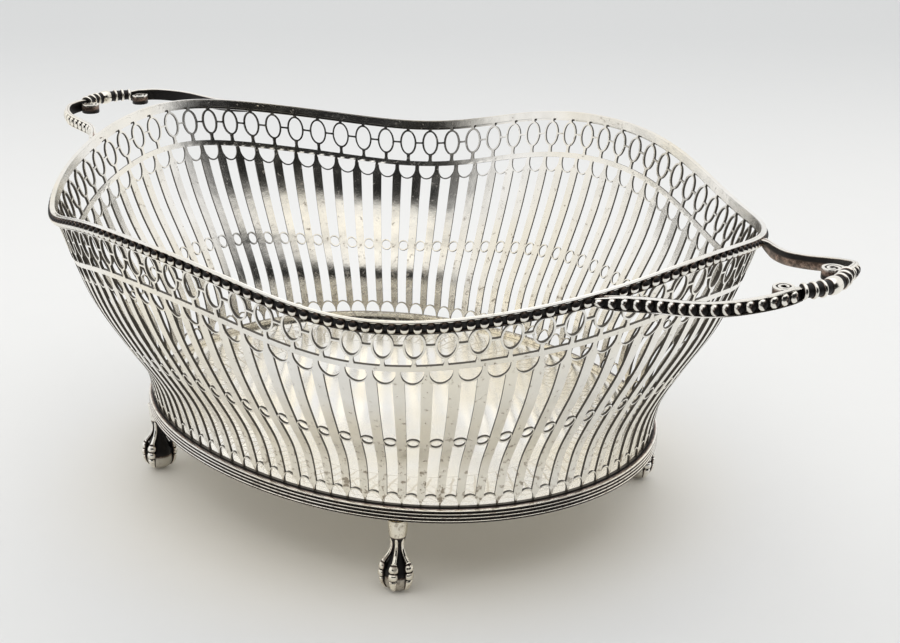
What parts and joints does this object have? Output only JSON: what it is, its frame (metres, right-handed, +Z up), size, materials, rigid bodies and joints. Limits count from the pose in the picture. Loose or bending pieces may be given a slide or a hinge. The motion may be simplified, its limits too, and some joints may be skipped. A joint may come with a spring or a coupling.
{
  "type": "bread basket",
  "caption": "Oval silver bread basket with pierced slatted sides, a gallery of oval rings, a beaded wavy rim, bow handles and claw and ball feet.",
  "frame": {"origin": "on the table under the middle of the basket", "axes": "+Z up, +X along the basket's length towards the right handle, +Y towards the back"},
  "size_m": [0.3044, 0.1936, 0.102],
  "materials": {
    "pierced_silver": "polished, with faint yellow tarnish",
    "oxidised_silver": "polished high spots over dark oxidised recesses",
    "polished_silver": "polished"
  },
  "bodies": {
    "root": {"slatted_wall": "pierced_silver", "gallery": "pierced_silver", "bead_border": "oxidised_silver", "base_ring": "oxidised_silver", "bottom_plate": "polished_silver", "claw_leg_right_front": "oxidised_silver", "ball_right_front": "polished_silver", "arm_right_front": "oxidised_silver", "scroll_right_front": "polished_silver", "claw_leg_right_back": "oxidised_silver", "ball_right_back": "polished_silver", "arm_right_back": "oxidised_silver", "scroll_right_back": "polished_silver", "grip_right": "oxidised_silver", "claw_leg_left_front": "oxidised_silver", "ball_left_front": "polished_silver", "arm_left_front": "oxidised_silver", "scroll_left_front": "polished_silver", "claw_leg_left_back": "oxidised_silver", "ball_left_back": "polished_silver", "arm_left_back": "oxidised_silver", "scroll_left_back": "polished_silver", "grip_left": "oxidised_silver"}
  },
  "joints": []
}
